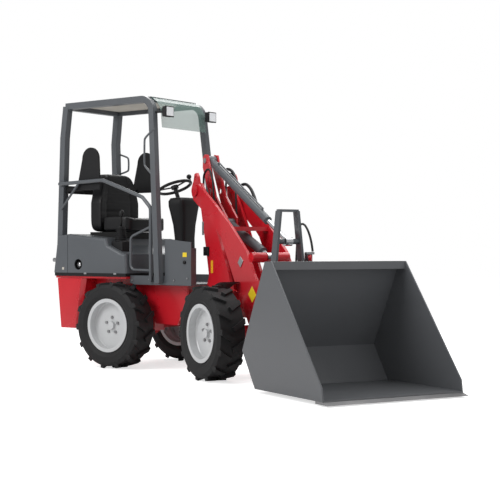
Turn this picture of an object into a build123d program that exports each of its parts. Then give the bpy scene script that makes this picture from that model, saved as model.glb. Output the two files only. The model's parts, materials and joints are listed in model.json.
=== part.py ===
from build123d import *
import math
import os

os.makedirs("parts", exist_ok=True)

# Compact articulated wheel loader. Millimetres, +X forward, +Y left, +Z up.
# It is drawn with the steering pivot over the origin and the ground at z = 0.
# The front half is drawn straight and then turned about the pivot.

# Driving sizes of the running gear
STEER_DEG = -23.7            # how far the front half is turned at rest
REAR_AXLE_X = -650.0
FRONT_AXLE_X = 775.0
TRACK = 845.0
TYRE_R = 336.0
TYRE_W = 216.0
TYRE_SEAT_R = 190.0
LUGS = 14                    # lugs in one row
LUG_H = 20.0
LUG_W = 34.0
LUG_L = 118.0
LUG_SLANT = 32.0
RIM_FLANGE_R = 208.0
RIM_W = 190.0
RIM_WALL = 9.0
DISC_IN = 63.0
DISC_T = 9.0
AXLE_Z = 329.5
AXLE_TUBE_R = 48.0
AXLE_SEAT = 100.0            # top of the axle's seat above its middle
SPINDLE_R = 25.0
HUB_R = 62.0
PIVOT_R = 28.0               # upright steering pin
FIT = 0.05                   # radial clearance of a running fit
SEAT_GAP = 0.3               # gap between curved faces that seat on each other
CLEAR = 6.0                  # gap beside a moving part

# Driving sizes of the rear half
DECK_Z = 706.0
DECK_T = 16.0
DECK_HALF = 388.0
CHASSIS_HALF = 250.0
PLATE_T = 20.0
HOOD_HALF = 400.0
HOOD_WALL = 6.0
HOOD_BOTTOM_Z = 732.0
HOOD_TOP_Z = 1038.0
HOOD_SEAM_X = -1200.0
SEAM_GAP = 4.0
FLOOR_Z = 655.0
FLOOR_T = 9.0
FLOOR_HALF = 345.0
SILL_TOP_Z = 717.0
SILL_T = 6.0
FLOOR_REAR_X = -565.0
FLOOR_FRONT_X = 56.0
CW_TOP_Z = 688.0
CW_BOTTOM_Z = 286.0
SEAT_Z = 1062.0              # top of the seat box
DOOR_HALF = 240.0
DOOR_PIN_R = 4.0
HINGE_LOW_Z = 795.0
HINGE_TOP_Z = 955.0
TAIL_PIPE = (-290.0, 834.0)
TAIL_PIPE_R = 17.0
WALL_SLANT = (1367 - 1321) / (1031 - HOOD_BOTTOM_Z)
ENGINE_REAR_X = -1240.0
FUEL = (-1080.0, 800.0)
FUEL_R = 43.0

# Driving sizes of the canopy
TUBE = 56.0                  # square tube of the canopy
REAR_POST_X = -1328.0
REAR_POST_FOOT_Y = 345.0
REAR_POST_TOP_Y = 303.0
HINGE_Z = 1828.0
ROOF_Z = 2120.0
ROOF_REAR_X = -1282.0
FRONT_FOOT_X = -238.0
FRONT_FOOT_Y = 377.0
FRONT_BEND_X = -372.0
ROOF_HALF = 300.0            # middle of the roof rails
PAD_Y = 331.0                # middle of a side guard
PAD_T = 14.0
RAIL_R = 15.0
LAMP_DROP = 135.0            # middle of a work lamp below the roof
LAMP_HALF = 48.0

# Driving sizes of the controls
WHEEL_CENTRE = (-400.0, 0.0, 1415.0)
WHEEL_TILT = 22.0
WHEEL_R = 132.0
WHEEL_RIM_R = 12.0
COLUMN_R = 16.0
COLUMN_L = 170.0
STICK_X = -703.0
STICK_IN = 100.0             # joystick inside the side of the hood

# Driving sizes of the loader, in the plane of the straight front half
ARM_PIVOT = (30.0, 1372.0)
ARM_OUT = 175.0              # outer face of an arm plate from the middle
ARM_T = 22.0
ARM_PIN_R = 22.0
TOWER_OUT = 147.0            # outer face of a tower side plate
TOWER_T = 22.0
HITCH_PIVOT = (1300.0, 260.0)
LEVER_PIVOT = (1112.0, 660.0)
LEVER_LENGTH = 315.0         # pivot of the lever to the pin of the tilt rod
LEVER_TOP = 530.0            # pivot of the lever to the middle of its cap
LINK_ARM = (105.0, 150.0)    # pivot of the lever, and of the hitch, to the link's pin
TILT_BASE = (-49.0, 1612.0)
LIFT_BASE = (250.0, 1116.0)
LIFT_EYE = (860.0, 862.0)
CHANNEL_HALF = 36.0          # half of the free lane down the middle of the linkage
TILT_BARREL_R = 31.0
TILT_ROD_R = 18.0
TILT_BARREL_L = 1010.0
LIFT_BARREL_R = 35.0
LIFT_ROD_R = 20.0
LIFT_BARREL_L = 560.0
EYE_R = 34.0
LINK_PIN_R = 13.0
LINK_END_R = 27.0            # round end of a link
HOSE_R = 8.0
HOSE_Y = 88.0

# Driving sizes of the bucket
BUCKET_HALF = 525.0
BUCKET_PLATE = 8.0
BUCKET_FLOOR_Z = 20.0


def block(x0, x1, y0, y1, z0, z1):
    """Box between two corners."""
    size = Box(x1 - x0, y1 - y0, z1 - z0)
    return Pos((x0 + x1) / 2, (y0 + y1) / 2, (z0 + z1) / 2) * size


def plate(points, y0, y1):
    """Plate with an outline in XZ, from y0 to y1."""
    outline = Polyline(*[(x, y0, z) for x, z in points], close=True)
    return extrude(make_face(outline), amount=y1 - y0, dir=(0, 1, 0))


def pair(shape):
    """A shape and its mirror image on the other side."""
    return [shape, mirror(shape, about=Plane.XZ)]


def bar(p, q, radius, inner=0.0):
    """Round bar or tube between two points."""
    p, q = Vector(*p), Vector(*q)
    length = (q - p).length
    plane = Plane(origin=p, z_dir=q - p)
    solid = Cylinder(radius, length, align=(Align.CENTER, Align.CENTER, Align.MIN))
    if inner > 0:
        solid -= Cylinder(inner, length, align=(Align.CENTER, Align.CENTER, Align.MIN))
    return plane * solid


def cross(point, radius, y0, y1, inner=0.0):
    """Round bar or tube along Y at a point of the XZ plane."""
    return bar((point[0], y0, point[1]), (point[0], y1, point[1]), radius, inner)


def bent_tube(points, radius, bend):
    """Round tube through points, with one bend radius."""
    path = FilletPolyline(*points, radius=bend)
    section = Plane(origin=path @ 0, z_dir=path % 0) * Circle(radius)
    return sweep(section, path=path)


def square_tube(points, width, bend):
    """Square tube through points that lie in one upright plane along X."""
    path = FilletPolyline(*points, radius=bend) if len(points) > 2 else Polyline(*points)
    side = Vector(0, 1, 0)
    section = Plane(origin=path @ 0, x_dir=side, z_dir=path % 0) * Rectangle(width, width)
    return sweep(section, path=path)


def link_outline(p, q, rp, rq, y0, y1):
    """Flat link with round ends of two radii, between two points of XZ."""
    dx, dz = q[0] - p[0], q[1] - p[1]
    length = math.hypot(dx, dz)
    turn = math.degrees(math.atan2(dz, dx))
    lean = math.acos((rp - rq) / length)
    plane = Plane(origin=(p[0], y0, p[1]), x_dir=(1, 0, 0), z_dir=(0, -1, 0))
    ends = [(0, rp), (length, rq)]
    top = [(cx + r * math.cos(lean), r * math.sin(lean)) for cx, r in ends]
    low = [(x, -y) for x, y in reversed(top)]
    web = make_face(Polyline(*top, *low, close=True))
    face = web + Circle(rp) + Pos(length, 0) * Circle(rq)
    return extrude(plane * Rot(0, 0, turn) * face, amount=y0 - y1)


def along(p, q, distance):
    """Point of the XZ plane at a distance from p towards q."""
    length = math.hypot(q[0] - p[0], q[1] - p[1])
    share = distance / length
    return (p[0] + share * (q[0] - p[0]), p[1] + share * (q[1] - p[1]))


# Points of the linkage that follow from the driving sizes
LEVER_PIN = (LEVER_PIVOT[0], LEVER_PIVOT[1] + LEVER_LENGTH)
LINK_TOP = (LEVER_PIVOT[0] + LINK_ARM[0], LEVER_PIVOT[1] + LINK_ARM[1])
LINK_LOW = (HITCH_PIVOT[0] + LINK_ARM[0], HITCH_PIVOT[1] + LINK_ARM[1])
HALF_TRACK = TRACK / 2


def tyre_lugs():
    """Two rows of slanted lugs, half a pitch apart, cut to the tyre's outside."""
    lugs = []
    for side, start in ((1, 0), (-1, 0.5)):
        for k in range(LUGS):
            angle = 360 * (k + start) / LUGS
            bar_shape = Box(LUG_H + 30, LUG_L, LUG_W)
            place = Rot(0, angle, 0) * Pos(TYRE_R - LUG_H / 2 - 14, side * LUG_L * 0.44, 0)
            lugs.append(place * Rot(side * LUG_SLANT, 0, 0) * bar_shape)
    return lugs


def wheel_parts(axle_x):
    """Tyre and rim of the wheel on the left, with their middle at HALF_TRACK."""
    face = HALF_TRACK + RIM_W / 2
    disc_y = face - DISC_IN
    outline = [
        (TYRE_SEAT_R, -RIM_W / 2 + 14),
        (TYRE_SEAT_R + 22, -RIM_W / 2 + 6),
        (TYRE_R - 92, -TYRE_W / 2),
        (TYRE_R - 46, -TYRE_W / 2),
    ]
    tread = [(TYRE_R - LUG_H, -TYRE_W / 2 + 14)]
    crown = [(TYRE_R, -TYRE_W / 2 + 14)]
    tyre, hull = [
        revolve(make_face(Polyline(
            *[(r, y, 0) for r, y in half + [(r, -y) for r, y in reversed(half)]], close=True)),
            axis=Axis.Y, revolution_arc=360)
        for half in (outline + tread, outline + crown)
    ]
    tyre = tyre + [lug & hull for lug in tyre_lugs()]
    tyre = Pos(axle_x, HALF_TRACK, AXLE_Z) * tyre
    barrel_r = TYRE_SEAT_R - SEAT_GAP
    half = RIM_W / 2
    rim_outline = [
        (barrel_r - RIM_WALL, -half),
        (RIM_FLANGE_R, -half),
        (RIM_FLANGE_R, -half + 5),
        (barrel_r, -half + 8),
        (barrel_r, -34),
        (barrel_r - 14, -22),
        (barrel_r - 14, 22),
        (barrel_r, 34),
        (barrel_r, half - 8),
        (RIM_FLANGE_R, half - 5),
        (RIM_FLANGE_R, half),
        (barrel_r - RIM_WALL, half),
        (barrel_r - RIM_WALL, 38),
        (barrel_r - 14 - RIM_WALL, 26),
        (barrel_r - 14 - RIM_WALL, -26),
        (barrel_r - RIM_WALL, -38),
    ]
    rim_profile = Polyline(*[(r, y, 0) for r, y in rim_outline], close=True)
    rim = revolve(make_face(rim_profile), axis=Axis.Y, revolution_arc=360)
    rim = Pos(axle_x, HALF_TRACK, AXLE_Z) * rim
    disc = cross((axle_x, AXLE_Z), barrel_r - 14 - RIM_WALL / 2, disc_y - DISC_T, disc_y)
    hub = cross((axle_x, AXLE_Z), HUB_R, disc_y - DISC_T - 70, disc_y - DISC_T)
    cap = cross((axle_x, AXLE_Z), 30, disc_y - 1, disc_y + 22)
    rim = rim + disc + hub + cap
    rim -= cross((axle_x, AXLE_Z), SPINDLE_R + FIT, disc_y - DISC_T - 80, disc_y - DISC_T)
    return tyre, rim


def axle(axle_x):
    """Axle beam with its gear housing and its two spindles."""
    disc_y = HALF_TRACK + RIM_W / 2 - DISC_IN
    hub_in = disc_y - DISC_T - 70
    beam = cross((axle_x, AXLE_Z), AXLE_TUBE_R, -(hub_in - CLEAR), hub_in - CLEAR)
    beam += Pos(axle_x, 0, AXLE_Z) * Sphere(AXLE_SEAT - 3)
    beam += block(axle_x - 90, axle_x + 90, -60, 60, AXLE_Z - 60, AXLE_Z + AXLE_SEAT)
    beam += cross((axle_x, AXLE_Z), SPINDLE_R, -(disc_y - DISC_T - 5), disc_y - DISC_T - 5)
    return beam


# Rear half
def rear_chassis():
    """Side plates, bulkheads, deck and the two pivot ears."""
    side = [
        (-1010, DECK_Z - DECK_T), (-1010, 520), (-760, 520), (-720, 430),
        (-560, 430), (-440, 425), (-378, 343), (-160, 336), (-60, 560), (-60, 640),
        (-566, 640), (-566, DECK_Z - DECK_T),
    ]
    inner = CHASSIS_HALF - PLATE_T
    body = plate(side, inner, CHASSIS_HALF)
    body += mirror(body, about=Plane.XZ)
    for x in (-1010, -586, -160):
        top = DECK_Z - DECK_T if x < -500 else 640
        low = 520 if x < -900 else 440 if x < -500 else 345
        body += block(x, x + PLATE_T, -inner, inner, low, top)
    body += block(-1344, -566, -DECK_HALF, DECK_HALF, DECK_Z - DECK_T, DECK_Z)
    for z0 in (345, 560):
        ear = block(-150, 0, -80, 80, z0, z0 + 30)
        ear += Pos(0, 0, z0 + 15) * Cylinder(80, 30)
        body += ear - Pos(0, 0, z0 + 15) * Cylinder(PIVOT_R + FIT, 40)
    body += block(REAR_AXLE_X - 70, REAR_AXLE_X + 70, -60, 60, AXLE_Z + AXLE_SEAT, 450)
    body += block(REAR_AXLE_X - 110, REAR_AXLE_X + 110, -inner, inner, 430, 450)
    return body


def pivot_pin():
    """Upright steering pin with its head."""
    pin = Pos(0, 0, 470) * Cylinder(PIVOT_R, 270)
    return pin + Pos(0, 0, 600) * Cylinder(PIVOT_R + 14, 12)


def counterweight():
    """Cast weight behind the rear wheels."""
    side = [(-1344, CW_TOP_Z), (-1013, CW_TOP_Z), (-1086, CW_BOTTOM_Z), (-1303, CW_BOTTOM_Z)]
    body = plate(side, -HOOD_HALF, HOOD_HALF)
    upright = body.edges().filter_by(lambda e: abs((e % 0.5).Z) > 0.9)
    body = chamfer(upright, 30)
    body += block(-1090, -1010, -CHASSIS_HALF, CHASSIS_HALF, 520, CW_TOP_Z)
    return body


HOOD_OUTLINE = [
    (-1367, HOOD_BOTTOM_Z), (-1321, 1031), (-1194, 1046), (-782, 1007),
    (-760, 952), (-620, 893), (-567, 881), (-560, HOOD_BOTTOM_Z),
]


def hood_shell():
    """Whole engine cover before it is split at its seam, open below."""
    outer = plate(HOOD_OUTLINE, -HOOD_HALF, HOOD_HALF)
    tops = outer.edges().filter_by(lambda e: abs(abs(e.center().Y) - HOOD_HALF) < 1)
    tops = tops.filter_by(lambda e: e.center().Z > HOOD_BOTTOM_Z + 5)
    outer = fillet(tops, 22)
    wall = HOOD_WALL
    inside = [
        (-1367 + wall, HOOD_BOTTOM_Z - 10), (-1321 + wall, 1031 - wall),
        (-1194, 1046 - wall), (-782 - wall, 1007 - wall), (-760 - wall, 952 - wall),
        (-620 - wall, 893 - wall), (-567 - wall, 881 - wall), (-560 - wall, HOOD_BOTTOM_Z - 10),
    ]
    return outer - plate(inside, -HOOD_HALF + wall, HOOD_HALF - wall)


def half_space(x0, x1):
    """Everything between two values of x."""
    return block(x0, x1, -600, 600, 0, 2500)


def rear_wall_x(z):
    """Outer face of the cover's rear wall at a height."""
    return -1367 + WALL_SLANT * (z - HOOD_BOTTOM_Z)


def door_axis(z):
    """Point of the grille door's hinge line at a height."""
    return (rear_wall_x(z) - 9, DOOR_HALF + 6, z)


def post_shape(z0, z1):
    """Right and left rear post between two heights."""
    lean = (REAR_POST_FOOT_Y - REAR_POST_TOP_Y) / (HINGE_Z - DECK_Z)
    ends = [(REAR_POST_X, REAR_POST_FOOT_Y - lean * (z - DECK_Z), z) for z in (z0 - 20, z1 + 20)]
    return square_tube(ends, TUBE, 0) & block(-1500, -1200, 0, 600, z0, z1)


def rear_cover():
    """Rear end of the engine cover, open for its grille door."""
    cover = hood_shell() & half_space(-1500, HOOD_SEAM_X - SEAM_GAP / 2)
    cover -= block(-1500, -1300, -DOOR_HALF - 3, DOOR_HALF + 3, 757, 993)
    for side in (1, -1):
        y = side * (REAR_POST_FOOT_Y - 6)
        half = TUBE / 2 + CLEAR
        cover -= block(REAR_POST_X - half - 20, REAR_POST_X + half, y - half - 4, y + half + 4, DECK_Z, 1100)
    y, z = TAIL_PIPE
    cover -= bar((-1400, y, z), (-1300, y, z), TAIL_PIPE_R + SEAT_GAP)
    top, low = door_axis(HINGE_TOP_Z), door_axis(HINGE_LOW_Z)
    cover += bar(low, top, DOOR_PIN_R)
    for z in (HINGE_LOW_Z, HINGE_TOP_Z):
        x, y, _ = door_axis(z)
        cover += block(x - 7, x + 14, y - 3, y + 16, z - 6, z + 6)
    return cover


def engine_hood():
    """Front part of the engine cover with the filler opening."""
    hood = hood_shell() & half_space(HOOD_SEAM_X + SEAM_GAP / 2, 0)
    hood -= cross(FUEL, FUEL_R, -HOOD_HALF - 5, -HOOD_HALF + 15)
    return hood


def hood_seal():
    """Dark rubber strip between the deck and the engine cover."""
    low, high = HOOD_HALF - 22, HOOD_HALF - 3
    seal = block(-1350, -566, low, high, DECK_Z, HOOD_BOTTOM_Z)
    seal += mirror(seal, about=Plane.XZ)
    return seal + block(-578, -566, -low, low, DECK_Z, HOOD_BOTTOM_Z)


def fuel_filler():
    """Recessed cup and cap behind the opening of the hood."""
    y = -HOOD_HALF + HOOD_WALL
    cup = cross(FUEL, FUEL_R + 6, y, y + 40, FUEL_R)
    cup += cross(FUEL, FUEL_R + 6, y + 40, y + 45)
    return cup + cross(FUEL, 23, y + 12, y + 41)


def rear_door():
    """Grille door in the rear face, hinged on its left edge."""
    edge = [(rear_wall_x(z), z) for z in (760, 990)]
    slab = [edge[0], edge[1], (edge[1][0] + 12, 990), (edge[0][0] + 12, 760)]
    door = plate(slab, -DOOR_HALF, DOOR_HALF)
    for k in range(7):
        z = 790 + 27 * k
        x = rear_wall_x(z)
        door -= block(x - 20, x + 40, -DOOR_HALF + 40, DOOR_HALF - 40, z, z + 12)
    for z in (815, 895):
        low, top = door_axis(z), door_axis(z + 40)
        x, y, _ = door_axis(z + 20)
        door += block(x - 3, x + 16, y - 18, y - 5, z + 2, z + 38)
        door += bar(low, top, DOOR_PIN_R + 4)
        door -= bar(door_axis(z - 5), door_axis(z + 45), DOOR_PIN_R + FIT)
    return door


def engine():
    """Engine and pump as one plain block."""
    return block(ENGINE_REAR_X, -800, -320, 320, DECK_Z, 960)


def platform():
    """Foot platform with its sills."""
    half = [
        (FLOOR_REAR_X, 0), (FLOOR_FRONT_X, 0), (FLOOR_FRONT_X, 100), (-8, 175),
        (-8, 222), (FLOOR_FRONT_X, 280), (FLOOR_FRONT_X, FLOOR_HALF), (FLOOR_REAR_X, FLOOR_HALF),
    ]
    outline = make_face(Polyline(*half, close=True))
    pan = Pos(0, 0, FLOOR_Z - FLOOR_T) * extrude(outline, amount=FLOOR_T)
    pan += block(FLOOR_REAR_X, FLOOR_FRONT_X, FLOOR_HALF - SILL_T, FLOOR_HALF, FLOOR_Z - FLOOR_T, SILL_TOP_Z)
    pan -= cross((REAR_AXLE_X, AXLE_Z), TYRE_R + CLEAR, FLOOR_HALF - 45, FLOOR_HALF + 5)
    return pan + mirror(pan, about=Plane.XZ)


def leg_panel():
    """Upright panel right of the driver's feet, with its front wall."""
    side = [
        (-205, SILL_TOP_Z), (FLOOR_FRONT_X, SILL_TOP_Z), (FLOOR_FRONT_X, 975),
        (-60, 985), (-150, 1000), (-205, 1000),
    ]
    panel = plate(side, -FLOOR_HALF, -FLOOR_HALF + SILL_T)
    front = block(FLOOR_FRONT_X - 8, FLOOR_FRONT_X, -FLOOR_HALF + SILL_T, -284, FLOOR_Z, 930)
    return panel + front


def seat_parts():
    """Seat box, cushion and backrest."""
    box = block(-1125, -800, -215, 215, 1000, SEAT_Z) - plate(HOOD_OUTLINE, -300, 300)
    cushion = block(-984, -685, -235, 235, SEAT_Z + SEAT_GAP, 1190)
    cushion = fillet(cushion.edges(), 30)
    low = SEAT_Z + SEAT_GAP
    back = [(-1120, low), (-1000, low), (-990, 1195), (-1000, 1400), (-1045, 1545), (-1120, 1545)]
    rest = plate(back, -235, 235)
    rest = fillet(rest.edges().filter_by(Axis.Y), 22)
    rest = fillet(rest.edges().group_by(Axis.Z)[-1], 15)
    return box, cushion, rest


def side_pad(side):
    """Black side guard plate beside the driver's shoulder."""
    y = side * PAD_Y
    low, high = 1400.0, 1741.0
    top_r = 92.0
    centre = (-1004.0, high - top_r)
    outline = [(-1158, low), (-900, low), (centre[0] + top_r, centre[1]), (centre[0] - top_r, centre[1])]
    half = PAD_T / 2
    slab = plate(outline, y - half, y + half) + cross(centre, top_r, y - half, y + half)
    return slab


def crossbar():
    """Bar between the rear posts that carries the side guards."""
    rear = REAR_POST_X + TUBE / 2
    face = PAD_Y - PAD_T / 2
    beam = block(rear, rear + 32, -face, face, 1378, 1440)
    for y0, y1 in ((-face, -face + 12), (face - 12, face)):
        beam += block(rear, -1100, y0, y1, 1395, 1430)
    return beam


def roof_side(side):
    """Front post, roof rail and upper rear post of one side."""
    top_y = ROOF_HALF
    rear = (ROOF_REAR_X - 20, ROOF_Z - TUBE / 2)
    points = [
        (FRONT_FOOT_X, side * FRONT_FOOT_Y, FLOOR_Z + 4),
        (FRONT_BEND_X, side * top_y, ROOF_Z - TUBE / 2),
        (rear[0], side * top_y, rear[1]),
    ]
    path = FilletPolyline(*points, radius=110)
    section = Plane(origin=path @ 0, x_dir=(0, 1, 0), z_dir=path % 0) * Rectangle(TUBE - 6, TUBE - 6)
    frame = sweep(section, path=path, transition=Transition.RIGHT)
    upper = [
        (REAR_POST_X - 2, side * (REAR_POST_TOP_Y + 1), HINGE_Z - 20),
        (rear[0] + 5, side * top_y, ROOF_Z - 30),
    ]
    frame += square_tube(upper, TUBE, 0)
    return frame - block(-1500, -1200, -500, 500, 0, HINGE_Z)


def roof_cross():
    """Front and rear cross tubes of the roof."""
    bars = [block(-1320, -1264, -272, 272, ROOF_Z - TUBE, ROOF_Z)]
    bars.append(block(-452, -412, -275, 275, ROOF_Z - 46, ROOF_Z - 6))
    return [b - roof_side(1) - roof_side(-1) for b in bars]


def roof_panel():
    return block(-1264, -452, -273, 273, ROOF_Z - 22, ROOF_Z - 8)


def visor():
    """Curved tinted visor before the roof."""
    outer = [(-412, ROOF_Z - 10), (-350, ROOF_Z - 45), (-312, ROOF_Z - 110), (-298, ROOF_Z - 250)]
    inner = [(x - 4, z - 4) for x, z in reversed(outer[1:])] + [(-412, ROOF_Z - 16)]
    return plate(outer + inner, -268, 268)


def guard_rail():
    """Right guard rail with its lower hoop and its brace."""
    y = -(FLOOR_HALF + RAIL_R + SEAT_GAP)
    rail = bent_tube(
        [(-1335, y, 1456), (-845, y, 1472), (-420, y, 1325), (-335, y, 1240), (-335, y, 670)],
        RAIL_R, [180, 60, 60])
    hoop = bent_tube([(-345, y, 1092), (-544, y, 1018), (-546, y, 762), (-345, y, 758)], 10, [45, 45])
    brace = bar((-1115, y, 1455), (-1310, y, 1250), 9)
    return rail + hoop + brace - mirror(post_shape(DECK_Z, HINGE_Z), about=Plane.XZ)


def wheel_place():
    """Frame of the steering wheel, with its spin axis along Z."""
    return Pos(*WHEEL_CENTRE) * Rot(0, -WHEEL_TILT, 0)


def console():
    """Steering console on the platform."""
    side = [
        (-350, FLOOR_Z), (-240, FLOOR_Z), (-240, 960), (-222, 1250), (-245, 1330), (-350, 1330),
        (-392, 1290), (-385, 1200), (-350, 960),
    ]
    body = plate(side, -120, 120)
    return body - wheel_place() * Pos(0, 0, -COLUMN_L / 2) * Cylinder(COLUMN_R + FIT, COLUMN_L + 2)


def steering_wheel():
    """Rim, spokes, hub, column and spinner knob."""
    rim = Torus(WHEEL_R, WHEEL_RIM_R)
    for k in range(3):
        rim += Rot(0, 0, 120 * k) * Pos(WHEEL_R / 2, 0, 0) * Box(WHEEL_R, 16, 8)
    rim += Cylinder(30, 24)
    rim += Pos(0, 0, -COLUMN_L / 2) * Cylinder(COLUMN_R, COLUMN_L)
    rim += Pos(95, 95, 26) * Cylinder(8, 30)
    rim += Pos(95, 95, 55) * Sphere(20)
    return wheel_place() * rim


def joystick():
    """Ribbed boot and lever on the right."""
    x, y = STICK_X, -(HOOD_HALF - STICK_IN)
    boot = block(x - 60, x + 60, y - 50, y + 50, 890, 985) - plate(HOOD_OUTLINE, -380, 0)
    stick = Pos(x, y, 1040) * Cone(48, 34, 110)
    stick += bar((x, y, 1090), (x + 5, y, 1190), 8)
    stick += Pos(x + 8, y, 1208) * Cylinder(19, 50)
    return boot + stick


def work_lamp(side):
    """Square lamp on its bracket at the front post."""
    x, y, z = -270.0, side * (ROOF_HALF - 38), ROOF_Z - LAMP_DROP
    body = block(x, x + 50, y - LAMP_HALF, y + LAMP_HALF, z - 42, z + 42)
    body += bar((x - 90, side * (ROOF_HALF + 6), z), (x + 5, y, z), 9)
    return body - roof_side(side)


def tail_pipe():
    y, z = TAIL_PIPE
    return bar((ENGINE_REAR_X - 1, y, z), (-1470, y, z), TAIL_PIPE_R, TAIL_PIPE_R - 3) - engine()


def hitch_ball():
    """Drawbar jaw with its pin behind the weight."""
    jaw = block(-1395, -1320, -45, 45, 560, 575) + block(-1395, -1320, -45, 45, 620, 635)
    jaw += block(-1352, -1320, -45, 45, 540, 655)
    jaw += Pos(-1376, 0, 598) * Cylinder(12, 110)
    return jaw - counterweight()


# Front half, drawn straight
def front_frame():
    """Knuckle, box, tower side plates and the two middle plates."""
    body = Pos(0, 0, 467.5) * Cylinder(78, 158) - Pos(0, 0, 467.5) * Cylinder(PIVOT_R + FIT, 170)
    body += block(50, 200, -60, 60, 400, 535)
    tower = [
        (200, 722), (150, 930), (55, 1273), (-18, 1340), (-20, 1410), (60, 1430), (105, 1380),
        (330, 1050), (505, 760), (560, 628), (880, 560), (900, 430), (160, 430), (160, 628),
    ]
    inner = TOWER_OUT - TOWER_T
    side = plate(tower, inner, TOWER_OUT)
    middle = [
        (-95, 1560), (-90, 1640), (-60, 1662), (-15, 1655), (5, 1600), (120, 1330), (300, 1160),
        (300, 1060), (220, 1060), (120, 1130), (20, 1330),
    ]
    spine = plate(middle, CHANNEL_HALF, CHANNEL_HALF + 14)
    for shape in (side, spine):
        body += shape
        body += mirror(shape, about=Plane.XZ)
    body += block(160, 182, -inner, inner, 430, 1050)
    body += block(182, 880, -inner, inner, 430, 450)
    body += block(60, 110, -inner, inner, 1180, 1200)
    body += block(182, 260, -inner, inner, 1030, 1050)
    body -= cross(TILT_BASE, ARM_PIN_R + FIT, -60, 60)
    body -= cross(LIFT_BASE, ARM_PIN_R + FIT, -60, 60)
    body -= cross(ARM_PIVOT, ARM_PIN_R + FIT, -200, 200)
    return body


def lift_arm():
    """Left arm plate with its bosses."""
    outline = [
        (-36, 1345), (-5, 1300), (150, 1215), (400, 1050), (441, 1016), (575, 812),
        (650, 700), (785, 505), (860, 395), (1240, 205), (1330, 205), (1352, 260),
        (1330, 315), (1165, 640), (1165, 700), (1120, 718), (1010, 700), (973, 700),
        (930, 751), (887, 821), (829, 906), (740, 977), (589, 1095), (353, 1252),
        (106, 1400), (80, 1420), (62, 1480), (40, 1508), (10, 1500), (-5, 1450), (-36, 1400),
    ]
    arm = plate(outline, ARM_OUT - ARM_T, ARM_OUT)
    arm -= cross((22, 1470), 15, 0, 300)
    arm += cross(ARM_PIVOT, 45, ARM_OUT, ARM_OUT + 14)
    arm += cross(LIFT_EYE, 36, CHANNEL_HALF, ARM_OUT - ARM_T)
    arm += cross(ARM_PIVOT, ARM_PIN_R, TOWER_OUT - TOWER_T - 8, ARM_OUT)
    arm -= cross(HITCH_PIVOT, ARM_PIN_R + FIT, 100, 300)
    return arm - cross(LEVER_PIVOT, ARM_PIN_R + FIT, 100, 300)


def arm_crossbar():
    """Flat bar that joins both arm plates."""
    inner = ARM_OUT - ARM_T
    return block(502, 575, -inner, inner, 1057, 1087)


def lever_pin():
    return cross(LEVER_PIVOT, ARM_PIN_R, -ARM_OUT - 8, ARM_OUT + 8)


def hitch_pin():
    return pair(cross(HITCH_PIVOT, ARM_PIN_R, 118, ARM_OUT + 8))


def tilt_lever():
    """Lever of two legs that lean together to a cap, with ears for the links."""
    foot_y, top_y, leg = 118.0, 62.0, 18.0
    x, low = LEVER_PIVOT
    top = low + LEVER_TOP
    side = [(x - 36, low), (x + 36, low), (x + 32, top), (x - 32, top)]
    lean = math.degrees(math.atan2(foot_y - top_y, top - low))
    one = Pos(0, foot_y, low) * Rot(lean, 0, 0) * Pos(0, 0, -low) * plate(side, 0, leg)
    one += cross(LEVER_PIN, 19, CHANNEL_HALF - 2, 95)
    one += link_outline(LEVER_PIVOT, LINK_TOP, 34, LINK_END_R, 76, 92)
    one -= cross(LINK_TOP, LINK_PIN_R + FIT, 70, 98)
    body = one + mirror(one, about=Plane.XZ)
    body += cross(LEVER_PIVOT, 36, -146, 146)
    body += block(x - 18, x + 18, -80, 80, top - 9, top + 9)
    return body - cross(LEVER_PIVOT, ARM_PIN_R + FIT, -200, 200)


def link_pins():
    return pair(cross(LINK_TOP, LINK_PIN_R, 47, 92))


def tilt_link():
    """Two flat links from the lever down to the hitch."""
    link = link_outline(LINK_TOP, LINK_LOW, LINK_END_R, LINK_END_R, 53, 68)
    for point in (LINK_TOP, LINK_LOW):
        link -= cross(point, LINK_PIN_R + FIT, 40, 80)
    return pair(link)


def bucket_back_x(z):
    """Rear face of the bucket at a height, less a hair."""
    return 1404.5 + (z - 257) * (1701 - 1405) / (842 - 257)


def quick_hitch():
    """Hitch carrier with its side plates, cross tubes and ears."""
    outline = [
        (1262, 232), (1300, 215), (1375, 215), (bucket_back_x(290), 290), (bucket_back_x(705), 705),
        (1590, 705), (1330, 612), (1262, 600),
    ]
    side = plate(outline, 118, 140)
    ear = link_outline((LINK_LOW[0] + 70, LINK_LOW[1] + 60), LINK_LOW, 30, 24, 74, 88)
    body = side + ear + mirror(side, about=Plane.XZ) + mirror(ear, about=Plane.XZ)
    body += cross((1560, 660), 24, -140, 140)
    body += cross((LINK_LOW[0] + 74, LINK_LOW[1] + 66), 20, -140, 140)
    body += block(1340, 1385, -118, 118, 215, 245)
    pins = cross(LINK_LOW, LINK_PIN_R, 52, 80)
    body += pins + mirror(pins, about=Plane.XZ)
    body -= cross(HITCH_PIVOT, ARM_PIN_R + FIT, 100, 200)
    body -= cross(HITCH_PIVOT, ARM_PIN_R + FIT, -200, -100)
    return body


BUCKET_OUTER = [
    (1701, 842), (1782, 842), (2367, 100), (2378, BUCKET_FLOOR_Z), (1572, BUCKET_FLOOR_Z), (1405, 257),
]


def bucket():
    """Shell of one bent plate with two side plates and a top bar."""
    t = BUCKET_PLATE
    wall = [
        (1701, 842), (1720, 842), (1421, 262), (1584, BUCKET_FLOOR_Z + t), (2378, BUCKET_FLOOR_Z + t),
        (2378, BUCKET_FLOOR_Z), (1572, BUCKET_FLOOR_Z), (1405, 257),
    ]
    half = BUCKET_HALF
    body = plate(wall, -half, half)
    side = plate(BUCKET_OUTER, half - 10, half)
    body += side + mirror(side, about=Plane.XZ)
    body += block(1701, 1782, -half, half, 832, 842)
    body += block(1774, 1782, -half, half, 790, 842)
    return body


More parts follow.
